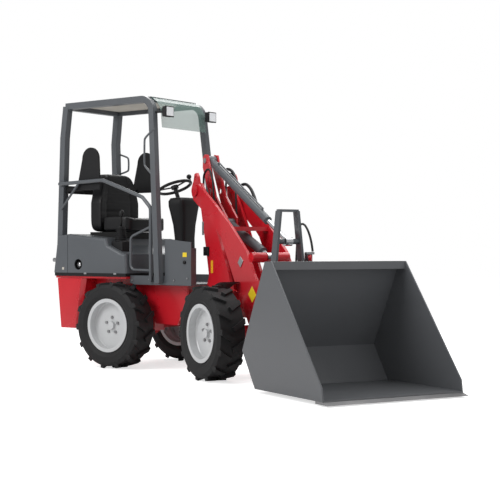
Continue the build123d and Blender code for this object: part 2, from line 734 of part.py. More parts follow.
def cutting_edge():
    half = BUCKET_HALF
    return plate([(2300, 4), (2436, 4), (2378, BUCKET_FLOOR_Z), (2300, BUCKET_FLOOR_Z)], -half, half)


def loader_hoses():
    """Hoses that loop over the top of the tower."""
    right = [(80, 1200), (-8, 1340), (-2, 1500), (90, 1560), (150, 1440), (200, 1050)]
    left = [(80, 1200), (25, 1330), (40, 1480), (120, 1530), (190, 1400), (215, 1050)]
    return [
        bent_tube([(x, y, z) for x, z in route], HOSE_R, 55)
        for y, route in ((-HOSE_Y, right), (HOSE_Y, left))
    ]


def cylinder_parts(base, eye, barrel_l, barrel_r, rod_r, eye_r, base_half, eye_half):
    """Barrel and rod between two pins of the XZ plane."""
    end = along(base, eye, barrel_l)
    start = along(base, eye, 28)
    barrel = bar((start[0], 0, start[1]), (end[0], 0, end[1]), barrel_r)
    barrel += cross(base, eye_r + 6, -base_half, base_half)
    inside = along(base, eye, 60)
    far = along(base, eye, barrel_l + 5)
    barrel -= bar((inside[0], 0, inside[1]), (far[0], 0, far[1]), rod_r + 0.08)
    barrel -= cross(base, ARM_PIN_R + FIT, -60, 60)
    tip = along(base, eye, math.hypot(eye[0] - base[0], eye[1] - base[1]) - 10)
    tail = along(base, eye, 300)
    rod = bar((tail[0], 0, tail[1]), (tip[0], 0, tip[1]), rod_r)
    rod += cross(eye, eye_r, -eye_half, eye_half)
    return barrel, rod


def tilt_pipe():
    """Steel oil pipe along the top of the tilt cylinder."""
    angle = math.atan2(LEVER_PIN[1] - TILT_BASE[1], LEVER_PIN[0] - TILT_BASE[0])
    up = (-math.sin(angle), math.cos(angle))
    pipe = []
    for distance in (130, 900):
        x, z = along(TILT_BASE, LEVER_PIN, distance)
        low, high = TILT_BARREL_R - 8, TILT_BARREL_R + 14
        pipe.append((x + low * up[0], 0, z + low * up[1]))
        pipe.append((x + high * up[0], 0, z + high * up[1]))
    a, b, c, d = pipe
    return bar(a, b, 9) + bar(c, d, 9) + bar(b, d, 6)


def base_pin(base):
    return cross(base, ARM_PIN_R, -58, 58)


def fender(side):
    """Narrow mudguard over the inner rear part of a front tyre."""
    r0, r1 = TYRE_R + 18, TYRE_R + 23
    ring = cross((FRONT_AXLE_X, AXLE_Z), r1, ARM_OUT + CLEAR, 330, r0)
    wedge = plate([(FRONT_AXLE_X, AXLE_Z), (FRONT_AXLE_X - 700, AXLE_Z + 300), (FRONT_AXLE_X - 700, 1000),
                   (FRONT_AXLE_X - 60, 1000)], TOWER_OUT - 5, 335)
    guard = ring & wedge
    guard += cross((504, 563), 12, TOWER_OUT, 200)
    return guard if side > 0 else mirror(guard, about=Plane.XZ)


REAR = {}
FRONT = {}

for name, x, group in (("front", FRONT_AXLE_X, FRONT), ("rear", REAR_AXLE_X, REAR)):
    tyre, rim = wheel_parts(x)
    group[f"tyre_{name}_left"] = tyre
    group[f"rim_{name}_left"] = rim
    group[f"tyre_{name}_right"] = mirror(tyre, about=Plane.XZ)
    group[f"rim_{name}_right"] = mirror(rim, about=Plane.XZ)
    group[f"{name}_axle"] = axle(x)

seat_box, seat_cushion, seat_back = seat_parts()
REAR["rear_chassis"] = rear_chassis()
REAR["pivot_pin"] = pivot_pin()
REAR["counterweight"] = counterweight()
REAR["rear_cover"] = rear_cover()
REAR["engine_hood"] = engine_hood()
REAR["hood_seal"] = hood_seal()
REAR["fuel_filler"] = fuel_filler()
REAR["rear_grille_door"] = rear_door()
REAR["engine_block"] = engine()
REAR["platform"] = platform()
REAR["leg_panel"] = leg_panel()
REAR["seat_base"] = seat_box
REAR["seat_cushion"] = seat_cushion
REAR["seat_backrest"] = seat_back
REAR["side_guards"] = [side_pad(1), side_pad(-1)]
REAR["guard_crossbar"] = crossbar()
REAR["rear_posts"] = pair(post_shape(DECK_Z, HINGE_Z))
REAR["canopy_side_left"] = roof_side(1)
REAR["canopy_side_right"] = roof_side(-1)
REAR["canopy_cross_tubes"] = roof_cross()
REAR["roof_panel"] = roof_panel()
REAR["visor"] = visor()
REAR["guard_rail"] = guard_rail()
REAR["steering_console"] = console()
REAR["steering_wheel"] = steering_wheel()
REAR["joystick"] = joystick()
REAR["work_lamps"] = [work_lamp(1), work_lamp(-1)]
REAR["tail_pipe"] = tail_pipe()
REAR["drawbar_jaw"] = hitch_ball()

tilt_barrel, tilt_rod = cylinder_parts(
    TILT_BASE, LEVER_PIN, TILT_BARREL_L, TILT_BARREL_R, TILT_ROD_R, 32, CHANNEL_HALF - 2, CHANNEL_HALF - 8)
lift_barrel, lift_rod = cylinder_parts(
    LIFT_BASE, LIFT_EYE, LIFT_BARREL_L, LIFT_BARREL_R, LIFT_ROD_R, EYE_R, CHANNEL_HALF - 2, CHANNEL_HALF - 8)
frame_body = front_frame()
FRONT["front_frame"] = frame_body
FRONT["lift_arm_left"] = lift_arm()
FRONT["lift_arm_right"] = mirror(lift_arm(), about=Plane.XZ)
FRONT["arm_crossbar"] = arm_crossbar()
FRONT["lever_pivot_pin"] = lever_pin()
FRONT["hitch_pivot_pins"] = hitch_pin()
FRONT["tilt_lever"] = tilt_lever()
FRONT["tilt_links"] = tilt_link()
FRONT["link_pins"] = link_pins()
FRONT["quick_hitch"] = quick_hitch()
FRONT["bucket_shell"] = bucket()
FRONT["cutting_edge"] = cutting_edge()
FRONT["tilt_cylinder_pin"] = base_pin(TILT_BASE)
FRONT["lift_cylinder_pin"] = base_pin(LIFT_BASE)
FRONT["tilt_cylinder_barrel"] = tilt_barrel + tilt_pipe()
FRONT["tilt_cylinder_rod"] = tilt_rod
FRONT["lift_cylinder_barrel"] = lift_barrel
FRONT["lift_cylinder_rod"] = lift_rod
FRONT["loader_hoses"] = [hose - frame_body for hose in loader_hoses()]
FRONT["front_fenders"] = [fender(1), fender(-1)]


def solids_of(shape):
    """Solids of a shape or of a list of shapes."""
    if isinstance(shape, (list, tuple)):
        return [s for item in shape for s in solids_of(item)]
    return list(shape.solids())


turn = Rot(0, 0, STEER_DEG)
NODES = {name: [s for s in solids_of(shape)] for name, shape in REAR.items()}
NODES.update({name: [turn * s for s in solids_of(shape)] for name, shape in FRONT.items()})

# The whole machine stands centred over the origin
whole = Compound([s for solids in NODES.values() for s in solids]).bounding_box()
CENTRE = ((whole.min.X + whole.max.X) / 2, (whole.min.Y + whole.max.Y) / 2, whole.min.Z)
shift = Pos(-CENTRE[0], -CENTRE[1], -CENTRE[2])

for name, solids in NODES.items():
    moved = [shift * s for s in solids]
    shape = Compound(moved) if len(moved) > 1 else moved[0]
    export_step(shape, f"parts/{name}.step")
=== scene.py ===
# %% [markdown]
# A compact articulated wheel loader, dressed around its imported model. Every solid of the
# model is already in place, so this script adds paint, rubber and upholstery, and the
# small pieces that a photograph shows and a plain solid doesn't.

# %% Load the frame
import bmesh
import bpy
import json
import math
from mathutils import Matrix, Vector


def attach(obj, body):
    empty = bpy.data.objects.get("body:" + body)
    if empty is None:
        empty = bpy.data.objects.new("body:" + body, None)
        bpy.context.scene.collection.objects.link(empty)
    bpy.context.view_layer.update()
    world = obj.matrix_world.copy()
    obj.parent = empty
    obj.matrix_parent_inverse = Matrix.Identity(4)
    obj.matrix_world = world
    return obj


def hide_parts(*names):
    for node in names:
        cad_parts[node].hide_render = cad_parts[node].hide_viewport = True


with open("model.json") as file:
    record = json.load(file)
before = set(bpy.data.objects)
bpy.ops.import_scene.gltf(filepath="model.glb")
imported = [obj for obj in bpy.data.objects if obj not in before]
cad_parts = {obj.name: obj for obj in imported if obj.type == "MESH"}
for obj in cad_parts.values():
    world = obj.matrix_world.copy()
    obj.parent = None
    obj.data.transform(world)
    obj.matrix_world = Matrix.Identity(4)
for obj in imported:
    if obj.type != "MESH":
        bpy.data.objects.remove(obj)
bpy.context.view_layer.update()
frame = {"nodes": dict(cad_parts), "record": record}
nodes = frame["nodes"]
print("solids", len(nodes))

# %% [markdown]
# The real machine bends about an upright pin between its two halves. The front half is
# drawn straight in the maker's drawings and stands turned in the photograph. Places could
# be typed in scene metres, but then they wouldn't match any drawing. Two small helpers turn
# a drawing's millimetres into scene metres: one for the rear half, and one that also
# applies the turn for the front half.

# %% Places
MM = 0.001
STEER_HEIGHT = 0.470    # of the steering joint over the drawing's zero
FRONT_TURN = Matrix.Rotation(math.radians(-23.7), 3, "Z")
joints = {j["name"]: j for j in frame["record"]["behaviour"]["joints"]}
pivot = Vector(joints["steer"]["pos_m"])
pivot.z -= STEER_HEIGHT


def rear(x, y, z):
    """Rear half: millimetres from the steering pivot to scene metres."""
    return pivot + Vector((x, y, z)) * MM


def front(x, y, z):
    """Front half: the same, turned with the front frame."""
    swung = FRONT_TURN @ Vector((x, y, 0))
    return pivot + (swung + Vector((0, 0, z))) * MM


print("pivot", tuple(round(v, 3) for v in pivot))

# %% [markdown]
# The camera stands where the photographer stood: level with the hood, in front of the
# machine's right side. A wide lens close by would lean the posts outwards. A long lens from
# far away keeps them nearly parallel, as they are in the photograph.

# %% Camera
LENS = 87.84
SENSOR = 36
CAMERA_AT = Vector((5.939, -7.407, 0.9155))
CAMERA_LOOKS = Vector((-0.602, 0.798, 0.0))
camera_data = bpy.data.cameras.new("camera")
camera_data.lens = LENS
camera_data.sensor_width = SENSOR
camera = bpy.data.objects.new("camera", camera_data)
bpy.context.scene.collection.objects.link(camera)
camera.location = pivot + CAMERA_AT
camera.rotation_euler = CAMERA_LOOKS.to_track_quat("-Z", "Y").to_euler()
bpy.context.scene.camera = camera
print("camera", tuple(round(v, 3) for v in camera.location))

# %% [markdown]
# Product photographs like this one are lit by large soft boxes. One small lamp would give
# hard shadows and sharp glints, so four wide ones share the work: a key to the left of the
# camera, a fill in front of the bucket, one high above, and a weak one behind that
# outlines the canopy and the seat.

# %% Lamps
LAMPS_AIM = Vector((0, 0, 0.8))
LAMPS = {    # place, side length in metres, power in watts
    "key_box": ((-2.5, -5.5, 4.6), 3.6, 250),
    "fill_box": ((5.5, -1.5, 2.6), 3.0, 50),
    "top_box": ((0.5, 1.0, 5.5), 5.0, 170),
    "back_box": ((-3.0, 4.0, 3.5), 3.0, 90),
}
for name, (at, size, power) in LAMPS.items():
    data = bpy.data.lights.new(name, "AREA")
    data.size = size
    data.energy = power
    lamp = bpy.data.objects.new(name, data)
    bpy.context.scene.collection.objects.link(lamp)
    lamp.location = at
    lamp.rotation_euler = (LAMPS_AIM - Vector(at)).to_track_quat("-Z", "Y").to_euler()
print("lamps", len(LAMPS))

# %% [markdown]
# The photograph's background is pure white. A world at full white would also flood the
# machine with light. The Light Path node tells the rays apart: the camera, also through
# the clear visor, sees full white, and every other ray meets a dimmer world.

# %% World
WORLD_LIGHT = 0.42
WORLD_SEEN = 1.0
world = bpy.data.worlds.new("studio")
bpy.context.scene.world = world
world.use_nodes = True
wn, wl = world.node_tree.nodes, world.node_tree.links
wn.clear()
path = wn.new("ShaderNodeLightPath")
seen = wn.new("ShaderNodeMath")
seen.operation = "MAXIMUM"
wl.new(path.outputs["Is Camera Ray"], seen.inputs[0])
wl.new(path.outputs["Is Transmission Ray"], seen.inputs[1])
mix = wn.new("ShaderNodeMixShader")
wl.new(seen.outputs[0], mix.inputs[0])
for socket, strength in ((1, WORLD_LIGHT), (2, WORLD_SEEN)):
    white = wn.new("ShaderNodeBackground")
    white.inputs["Color"].default_value = (1, 1, 1, 1)
    white.inputs["Strength"].default_value = strength
    wl.new(white.outputs[0], mix.inputs[socket])
out = wn.new("ShaderNodeOutputWorld")
wl.new(mix.outputs[0], out.inputs["Surface"])
bpy.context.scene.view_settings.view_transform = "Standard"
print("world", WORLD_LIGHT, "seen", WORLD_SEEN)

# %% [markdown]
# The floor is one large pale sheet. Left plain it would look grey beside the white world,
# and a glowing sheet would lose the machine's shadow. So it is a plain diffuse surface that
# adds a glow for the camera only: nearly white, with its shadow kept.

# %% Floor
FLOOR_SIZE = 30
FLOOR_GREY = 0.86
FLOOR_GLOW = 0.66


def mesh_object(name, bm, material):
    """New object from a bmesh, at the origin."""
    mesh = bpy.data.meshes.new(name)
    bm.to_mesh(mesh)
    bm.free()
    obj = bpy.data.objects.new(name, mesh)
    bpy.context.scene.collection.objects.link(obj)
    mesh.materials.append(material)
    return obj


floor_mesh = bmesh.new()
bmesh.ops.create_grid(floor_mesh, x_segments=1, y_segments=1, size=FLOOR_SIZE)
floor_material = bpy.data.materials.new("sweep")
floor_material.use_nodes = True
fn, fl = floor_material.node_tree.nodes, floor_material.node_tree.links
fn.clear()
floor_path = fn.new("ShaderNodeLightPath")
floor_diffuse = fn.new("ShaderNodeBsdfDiffuse")
floor_diffuse.inputs["Color"].default_value = (FLOOR_GREY, FLOOR_GREY, FLOOR_GREY, 1)
floor_glow = fn.new("ShaderNodeEmission")
floor_glow.inputs["Strength"].default_value = FLOOR_GLOW
floor_add = fn.new("ShaderNodeAddShader")
floor_mix = fn.new("ShaderNodeMixShader")
floor_out = fn.new("ShaderNodeOutputMaterial")
fl.new(floor_diffuse.outputs[0], floor_add.inputs[0])
fl.new(floor_glow.outputs[0], floor_add.inputs[1])
fl.new(floor_path.outputs["Is Camera Ray"], floor_mix.inputs[0])
fl.new(floor_diffuse.outputs[0], floor_mix.inputs[1])
fl.new(floor_add.outputs[0], floor_mix.inputs[2])
fl.new(floor_mix.outputs[0], floor_out.inputs["Surface"])
floor = mesh_object("floor", floor_mesh, floor_material)
print("floor", FLOOR_SIZE)

# %% [markdown]
# Paint on a machine is never one flat colour. An image could carry its changes, but noise
# has no seams and works at every size. Three small helpers make the nodes that every finish
# here needs. They read Object coordinates, so a pattern stays with its piece.

# %% Node helpers
def noise(tree, place, scale, detail):
    """Noise in object space."""
    texture = tree.nodes.new("ShaderNodeTexNoise")
    texture.inputs["Scale"].default_value = scale
    texture.inputs["Detail"].default_value = detail
    tree.links.new(place.outputs["Object"], texture.inputs["Vector"])
    return texture.outputs["Fac"]


def mapped(tree, value, low, high, top=1.0):
    """Value from 0 to top becomes low to high."""
    node = tree.nodes.new("ShaderNodeMapRange")
    node.inputs["From Max"].default_value = top
    node.inputs["To Min"].default_value = low
    node.inputs["To Max"].default_value = high
    tree.links.new(value, node.inputs["Value"])
    return node.outputs["Result"]


def blended(tree, factor, second):
    """Colour mix with its second colour set; the first is left to the caller."""
    node = tree.nodes.new("ShaderNodeMix")
    node.data_type = "RGBA"
    node.inputs["B"].default_value = (*second, 1)
    tree.links.new(factor, node.inputs["Factor"])
    return node


print("node helpers ready")

# %% [markdown]
# Each finish has a slow change of tone, a fine grain in its bump, such as the orange peel
# of sprayed paint, and a roughness that wanders. Dust gathers low down on a machine that
# works in sand, so it fades out with height. One function makes them all, because paint,
# rubber and plastic differ mostly in their numbers.

# %% Finish maker
DUST = (0.30, 0.27, 0.23)
DUST_TOP = 0.75    # metres above the floor where the dust ends
COAT_ROUGH = 0.08
LEAST_ROUGH = 0.02


def finish(name, colour, rough=0.35, tone=0.12, grain=900.0, bump=0.02, metal=0.0, coat=0.0,
           dust=0.0, patch=3.0, rough_vary=0.08, shine=0.5):
    """Principled material with tone, roughness and grain from noise; bump in millimetres."""
    material = bpy.data.materials.new(name)
    material.use_nodes = True
    tree = material.node_tree
    n, link = tree.nodes, tree.links
    shader = n["Principled BSDF"]
    place = n.new("ShaderNodeTexCoord")
    slow = noise(tree, place, patch, 6)
    fine = noise(tree, place, grain, 2)
    tint = blended(tree, slow, [min(1, c * (1 + tone)) for c in colour])
    tint.inputs["A"].default_value = (*[c * (1 - tone) for c in colour], 1)
    last = tint.outputs["Result"]
    if dust > 0:
        split = n.new("ShaderNodeSeparateXYZ")
        link.new(place.outputs["Object"], split.inputs[0])
        amount = n.new("ShaderNodeMath")
        amount.operation = "MULTIPLY"
        link.new(mapped(tree, split.outputs["Z"], dust, 0.0, DUST_TOP), amount.inputs[0])
        link.new(slow, amount.inputs[1])
        dusty = blended(tree, amount.outputs[0], DUST)
        link.new(last, dusty.inputs["A"])
        last = dusty.outputs["Result"]
    link.new(last, shader.inputs["Base Color"])
    wander = mapped(tree, slow, max(LEAST_ROUGH, rough - rough_vary), rough + rough_vary)
    link.new(wander, shader.inputs["Roughness"])
    shader.inputs["Metallic"].default_value = metal
    shader.inputs["Specular IOR Level"].default_value = shine
    shader.inputs["Coat Weight"].default_value = coat
    shader.inputs["Coat Roughness"].default_value = COAT_ROUGH
    peel = n.new("ShaderNodeBump")
    peel.inputs["Strength"].default_value = 1.0
    peel.inputs["Distance"].default_value = bump * MM
    link.new(fine, peel.inputs["Height"])
    link.new(peel.outputs["Normal"], shader.inputs["Normal"])
    return material


print("finish maker ready")

# %% [markdown]
# Enamel is glossy under a thin clear coat. The slate paint of the canopy and hood is
# satin, the rims are pale and hold the most dust. The bucket wears a slightly lighter
# slate, rubbed dull by what it carries.

# %% Paints
red = finish("red_enamel", (0.56, 0.008, 0.018), 0.28, 0.10, coat=0.35, dust=0.06)
slate = finish("slate_enamel", (0.088, 0.096, 0.106), 0.36, 0.08, coat=0.15, dust=0.05)
rim_grey = finish("rim_enamel", (0.56, 0.57, 0.58), 0.33, 0.06, coat=0.2, dust=0.20)
bucket_paint = finish("bucket_paint", (0.105, 0.110, 0.118), 0.40, 0.08, coat=0.10, dust=0.03)
roof_cream = finish("roof_lining", (0.50, 0.47, 0.41), 0.70, 0.06, 600.0, 0.05)
yellow = finish("yellow_plate", (0.85, 0.62, 0.02), 0.40, 0.05)
amber = finish("amber_reflector", (0.85, 0.42, 0.02), 0.18, 0.08)
print("materials", len(bpy.data.materials))

# %% [markdown]
# Rubber, plastic and vinyl are all nearly black, and the eye tells them apart by their
# gloss and grain. The tyres are the roughest, with coarse grain. The seat's vinyl has a
# fine leather grain and a soft sheen. The hoses are smooth.

# %% Rubber, plastic and vinyl
rubber = finish("tyre_rubber", (0.010, 0.010, 0.011), 0.66, 0.30, 420.0, 0.25, dust=0.03,
                patch=14.0, shine=0.35)
plastic = finish("moulded_plastic", (0.008, 0.008, 0.009), 0.48, 0.20, 1600.0, 0.10, shine=0.3)
vinyl = finish("seat_vinyl", (0.007, 0.007, 0.008), 0.42, 0.25, 1200.0, 0.14, shine=0.35)
hose_black = finish("hose_rubber", (0.006, 0.006, 0.007), 0.40, 0.25, 800.0, 0.08, shine=0.4)
engine_black = finish("engine_black", (0.009, 0.009, 0.009), 0.55, 0.2, shine=0.3)
print("materials", len(bpy.data.materials))

# %% [markdown]
# Pins are plain turned steel, the piston rods are ground and chromed, and the bucket's
# cutting edge and the tail pipe are worn and dusty. All are metal, so their colour is the
# colour of what they mirror.

# %% Metals
steel = finish("bright_steel", (0.55, 0.55, 0.56), 0.30, 0.10, 500.0, 0.02, metal=1.0)
dull_steel = finish("worn_steel", (0.32, 0.32, 0.33), 0.42, 0.20, 300.0, 0.05, metal=0.9,
                    dust=0.2)
chrome = finish("ground_rod", (0.80, 0.81, 0.83), 0.12, 0.04, 700.0, 0.005, metal=1.0,
                rough_vary=0.03)
print("materials", len(bpy.data.materials))

# %% [markdown]
# The visor is a thin smoky green sheet. Real refraction needs a closed thick pane and many
# light bounces. A sheet this thin hardly bends light, so a low alpha on a glossy finish is
# enough. The lamps' lenses are pale glossy plastic with a coarse ripple in the bump.

# %% Visor and lenses
VISOR_ALPHA = 0.42
visor_tint = finish("visor_tint", (0.20, 0.30, 0.27), 0.05, 0.05, 300.0, 0.01, rough_vary=0.02)
visor_tint.node_tree.nodes["Principled BSDF"].inputs["Alpha"].default_value = VISOR_ALPHA
lens = finish("lamp_lens", (0.82, 0.84, 0.86), 0.10, 0.10, 260.0, 0.6)
print("materials", len(bpy.data.materials))

# %% [markdown]
# Most solids already have the right shape, so they only get their finish. A short table
# says which solid wears which finish, which is easier to read and to change than a line
# for each. Solids that are replaced further down are in it too.

# %% Finishes of the solids
WEAR = {
    red: ["rear_chassis", "counterweight", "front_frame", "lift_arm_left", "lift_arm_right",
          "arm_crossbar", "rear_axle", "front_axle"],
    slate: ["rear_cover", "engine_hood", "rear_grille_door", "leg_panel", "guard_rail",
            "rear_posts", "canopy_side_left", "canopy_side_right", "canopy_cross_tubes",
            "tilt_lever", "tilt_links", "quick_hitch", "tilt_cylinder_barrel",
            "lift_cylinder_barrel", "platform"],
    bucket_paint: ["bucket_shell"],
    rim_grey: ["rim_front_left", "rim_front_right", "rim_rear_left", "rim_rear_right"],
    rubber: ["tyre_front_left", "tyre_front_right", "tyre_rear_left", "tyre_rear_right"],
    plastic: ["side_guards", "steering_console", "steering_wheel", "joystick", "front_fenders",
              "guard_crossbar", "hood_seal", "work_lamps"],
    vinyl: ["seat_cushion", "seat_backrest"],
    engine_black: ["seat_base", "drawbar_jaw", "engine_block", "fuel_filler"],
    hose_black: ["loader_hoses"],
    chrome: ["tilt_cylinder_rod", "lift_cylinder_rod"],
    steel: ["pivot_pin", "lever_pivot_pin", "hitch_pivot_pins", "link_pins",
            "tilt_cylinder_pin", "lift_cylinder_pin"],
    dull_steel: ["tail_pipe", "cutting_edge"],
    roof_cream: ["roof_panel"],
    visor_tint: ["visor"],
}
for material, names in WEAR.items():
    for name in names:
        worn = nodes[name].data.materials
        worn.clear()
        worn.append(material)
print("dressed", sum(len(names) for names in WEAR.values()), "of", len(nodes))

# %% [markdown]
# Every new piece ends the same way: its modifiers are applied, a curve becomes a mesh, and
# it is told which body it moves with. One helper does this, so no piece can miss a step.

# %% Settle a piece
def settle(obj, body, smooth=True):
    """Makes an object a plain mesh and lets it ride on a body."""
    graph = bpy.context.evaluated_depsgraph_get()
    mesh = bpy.data.meshes.new_from_object(obj.evaluated_get(graph))
    obj.modifiers.clear()
    if obj.type != "MESH":
        name, old = obj.name, obj
        obj = bpy.data.objects.new(name + "_mesh", mesh)
        bpy.context.scene.collection.objects.link(obj)
        bpy.data.objects.remove(old)
        obj.name = name
    else:
        obj.data = mesh
    for polygon in mesh.polygons:
        polygon.use_smooth = smooth
    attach(obj, body)
    return obj


print("settle ready")

# %% [markdown]
# Bolts and nuts repeat, so Geometry Nodes puts them in place. The tree takes a cloud of
# points, turns one hexagon head to the wanted direction, copies it to every point, and
# realises the copies, because an export keeps real faces only.

# %% Bolt tree
def bolt_tree(name, material):
    """Geometry Nodes group that puts a hexagon head on every point."""
    tree = bpy.data.node_groups.new(name, "GeometryNodeTree")
    face = tree.interface
    face.new_socket("Geometry", in_out="INPUT", socket_type="NodeSocketGeometry")
    face.new_socket("Radius", in_out="INPUT", socket_type="NodeSocketFloat")
    face.new_socket("Height", in_out="INPUT", socket_type="NodeSocketFloat")
    face.new_socket("Turn", in_out="INPUT", socket_type="NodeSocketVector")
    face.new_socket("Geometry", in_out="OUTPUT", socket_type="NodeSocketGeometry")
    n, link = tree.nodes, tree.links
    source = n.new("NodeGroupInput")
    head = n.new("GeometryNodeMeshCylinder")
    head.inputs["Vertices"].default_value = 6
    link.new(source.outputs["Radius"], head.inputs["Radius"])
    link.new(source.outputs["Height"], head.inputs["Depth"])
    copies = n.new("GeometryNodeInstanceOnPoints")
    link.new(source.outputs["Geometry"], copies.inputs["Points"])
    link.new(head.outputs["Mesh"], copies.inputs["Instance"])
    link.new(source.outputs["Turn"], copies.inputs["Rotation"])
    real = n.new("GeometryNodeRealizeInstances")
    coat = n.new("GeometryNodeSetMaterial")
    coat.inputs["Material"].default_value = material
    target = n.new("NodeGroupOutput")
    link.new(copies.outputs["Instances"], real.inputs["Geometry"])
    link.new(real.outputs["Geometry"], coat.inputs["Geometry"])
    link.new(coat.outputs["Geometry"], target.inputs["Geometry"])
    return tree


def bolts(name, points, along, radius, height, material, body, place=rear):
    """Hexagon heads at points, in millimetres, standing along a direction."""
    mesh = bpy.data.meshes.new(name)
    mesh.from_pydata([place(*p) for p in points], [], [])
    obj = bpy.data.objects.new(name, mesh)
    bpy.context.scene.collection.objects.link(obj)
    mesh.materials.append(material)
    modifier = obj.modifiers.new("bolts", "NODES")
    modifier.node_group = bolt_tree(name + "_tree", material)
    heading = (place(*along) - place(0, 0, 0)).normalized().to_track_quat("Z", "Y").to_euler()
    inputs = [s for s in modifier.node_group.interface.items_tree if s.in_out == "INPUT"]
    sockets = {s.name: s.identifier for s in inputs}
    modifier[sockets["Radius"]] = radius * MM
    modifier[sockets["Height"]] = height * MM
    modifier[sockets["Turn"]] = tuple(heading)
    return settle(obj, body, smooth=False)


print("bolt tree ready")

# %% [markdown]
# Bolts hold the sill plates on both sides and the deck over the engine, and five nuts hold
# each wheel on its hub. Each group is one piece, because a group moves with one body. The
# nuts ride on their wheel and turn with it.

# %% Bolts and nuts
SILL_BOLTS = [(-540, -347, 678), (-365, -347, 688), (-111, -347, 684), (20, -347, 700)]
DECK_BOLTS = [(x, side * 380, 708) for x in (-1320, -900, -640) for side in (-1, 1)]
NUT_COUNT = 5
NUT_CIRCLE = 62
NUT_START = 0.3
HUB_FACE = 459
HUB_HEIGHT = 329.5
bolts("sill_bolts_right", SILL_BOLTS, (0, -1, 0), 7, 8, dull_steel, "rear_frame")
bolts("sill_bolts_left", [(x, -y, z) for x, y, z in SILL_BOLTS], (0, 1, 0), 7, 8, dull_steel,
      "rear_frame")
bolts("deck_bolts", DECK_BOLTS, (0, 0, 1), 8, 10, red, "rear_frame")
for side, word in ((-1, "right"), (1, "left")):
    for name, centre, place in (("front", 775, front), ("rear", -650, rear)):
        ring = []
        for k in range(NUT_COUNT):
            angle = 2 * math.pi * k / NUT_COUNT + NUT_START
            ring.append((centre + NUT_CIRCLE * math.cos(angle), side * HUB_FACE,
                         HUB_HEIGHT + NUT_CIRCLE * math.sin(angle)))
        bolts(f"wheel_nuts_{name}_{word}", ring, (0, side, 0), 12, 14, dull_steel,
              f"wheel_{name}_{word}", place)
print("bolts", len(SILL_BOLTS) * 2 + len(DECK_BOLTS) + NUT_COUNT * 4)

# %% [markdown]
# The seat's pads are foam under vinyl: crowned, pulled in at their seams, raised at the
# sides, with sewn channels across. A cloth simulation could swell them from flat panels.
# Here a rounded block of many small faces is shaped by a formula instead, which is quick
# and always gives the same result. A channel is a narrow valley across the pad, and the
# seam beside the bolster is one along it.

# %% Pad maker
PAD_CUTS = 44
PAD_SQUARE = 7.0         # how square the rounded block is
FACE_FROM, FACE_FADE = 0.3, 0.4    # where the sewn face starts, and how softly
SEW_WIDTH, SEW_DEPTH = 0.035, 0.09
SEAM_AT, SEAM_WIDTH, SEAM_DEPTH = 0.62, 0.03, 0.10
BOLSTER_FROM = 0.55
CROWN = 0.10


def sewn(run, across, channels, bolster):
    """Height of the sewn face, as a share of half the pad's thickness."""
    valleys = sum(math.exp(-((run - at) / SEW_WIDTH) ** 2) for at in channels)
    valleys *= 1 - across ** 6
    wing = bolster * max(0.0, (across - BOLSTER_FROM) / (1 - BOLSTER_FROM)) ** 1.5
    seam = math.exp(-((across - SEAM_AT) / SEAM_WIDTH) ** 2)
    crown = CROWN * (1 - across * across) * (1 - run * run)
    return wing + crown - SEW_DEPTH * valleys - SEAM_DEPTH * seam


def pad(name, low, high, node, channels, bolster, lean=0.0, taper=0.0):
    """Crowned pad with rounded corners, side bolsters and sewn channels."""
    upright = node == "seat_backrest"
    bm = bmesh.new()
    bmesh.ops.create_cube(bm, size=2)
    bmesh.ops.subdivide_edges(bm, edges=bm.edges[:], cuts=PAD_CUTS, use_grid_fill=True)
    centre = [(l + h) / 2 for l, h in zip(low, high)]
    half = [(h - l) / 2 for l, h in zip(low, high)]
    for vert in bm.verts:
        u = vert.co.copy()
        u /= sum(abs(v) ** PAD_SQUARE for v in u) ** (1 / PAD_SQUARE)
        run, out_of_face = (u.z, u.x) if upright else (u.x, u.z)
        if out_of_face > FACE_FROM:
            change = sewn(run, abs(u.y), channels, bolster)
            change *= min(1.0, (out_of_face - FACE_FROM) / FACE_FADE)
            if upright:
                u.x += change
            else:
                u.z += change
        if upright:
            u.y *= 1 - taper * max(0.0, u.z)
            u.x -= lean * max(0.0, u.z) ** 2
        vert.co = rear(*[c + h * v for c, h, v in zip(centre, half, u)])
    obj = settle(mesh_object(name, bm, vinyl), "rear_frame")
    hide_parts(node)
    return obj


print("pad maker ready")

# %% [markdown]
# The cushion has two wide sewn panels with a channel between and one near each end. The
# backrest has five channels, narrows upwards, and leans back at its top.

# %% Seat pads
cushion = pad("seat_cushion_pad", (-984, -235, 1064), (-690, 235, 1172), "seat_cushion",
              (-0.45, 0.0, 0.45), bolster=0.42)
backrest = pad("seat_back_pad", (-1118, -232, 1064), (-1012, 232, 1540), "seat_backrest",
               (-0.6, -0.3, 0.0, 0.3, 0.6), bolster=0.55, lean=0.35, taper=0.30)
print("pad faces", len(cushion.data.polygons), len(backrest.data.polygons))

# %% [markdown]
# Two more tools make most small pieces. Plates, boxes and lamps are blocks, and a block
# with sharp edges catches no light along them, so its edges are bevelled. Knobs, caps and
# boots are turned like on a lathe: a profile of distances and radii is swept once round.

# %% Blocks and turned shapes
def block(name, low, high, material, body, place=rear, bevel=3.0, tilt=None, about=None):
    """Bevelled block between two corners, in millimetres of one half."""
    bm = bmesh.new()
    bmesh.ops.create_cube(bm, size=1)
    for vert in bm.verts:
        vert.co = Vector([l + (v + 0.5) * (h - l) for l, h, v in zip(low, high, vert.co)])
    bmesh.ops.bevel(bm, geom=bm.edges[:], offset=bevel, segments=3, affect="EDGES", profile=0.5)
    if tilt:
        centre = Vector(about)
        matrix = Matrix.Rotation(math.radians(tilt), 3, "Y")
        for vert in bm.verts:
            vert.co = centre + matrix @ (vert.co - centre)
    for vert in bm.verts:
        vert.co = place(*vert.co)
    return settle(mesh_object(name, bm, material), body, smooth=False)


